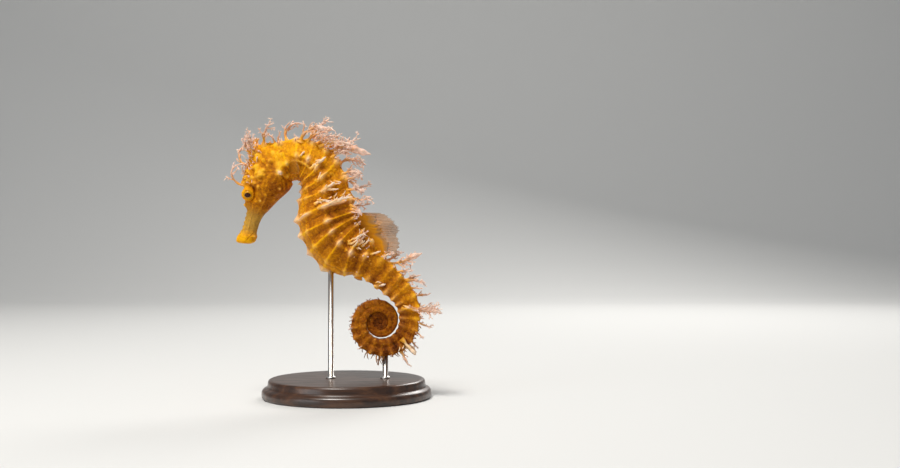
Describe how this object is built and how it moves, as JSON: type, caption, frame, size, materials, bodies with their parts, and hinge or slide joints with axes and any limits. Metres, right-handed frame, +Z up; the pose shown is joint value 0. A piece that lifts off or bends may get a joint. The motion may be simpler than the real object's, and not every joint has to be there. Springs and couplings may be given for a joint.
{
  "type": "seahorse",
  "caption": "Life-size maned seahorse swimming upright with its tail coiled, with a branched mane, fins and eyes, on a round display base with two rods.",
  "frame": {"origin": "centre of the flat underside of the round display base", "axes": "+Z up, -X toward the snout, +X toward the back and the dorsal fin, -Y toward the animal's left side"},
  "size_m": [0.0693, 0.054, 0.0899],
  "materials": {
    "skin": "satin, golden yellow, bony rings under thin skin",
    "eye": "wet gloss, golden iris with a dark pupil",
    "fin": "thin translucent membrane over fine rays",
    "stand_wood": "dark stained, satin",
    "stand_metal": "polished rod"
  },
  "bodies": {
    "root": {"snout": "skin", "head": "skin", "coronet": "skin", "neck": "skin", "trunk_upper": "skin", "trunk_lower": "skin", "tail_root": "skin", "tail_shaft": "skin", "tail_coil_right": "skin", "tail_coil_left": "skin", "tail_coil_inner": "skin", "tail_tip": "skin", "eye_left": "eye", "eye_right": "eye", "dorsal_fin": "fin", "anal_fin": "fin", "pectoral_fin_left": "fin", "pectoral_fin_right": "fin", "stand_base": "stand_wood", "stand_rod_belly": "stand_metal", "stand_rod_tail": "stand_metal"}
  },
  "joints": []
}
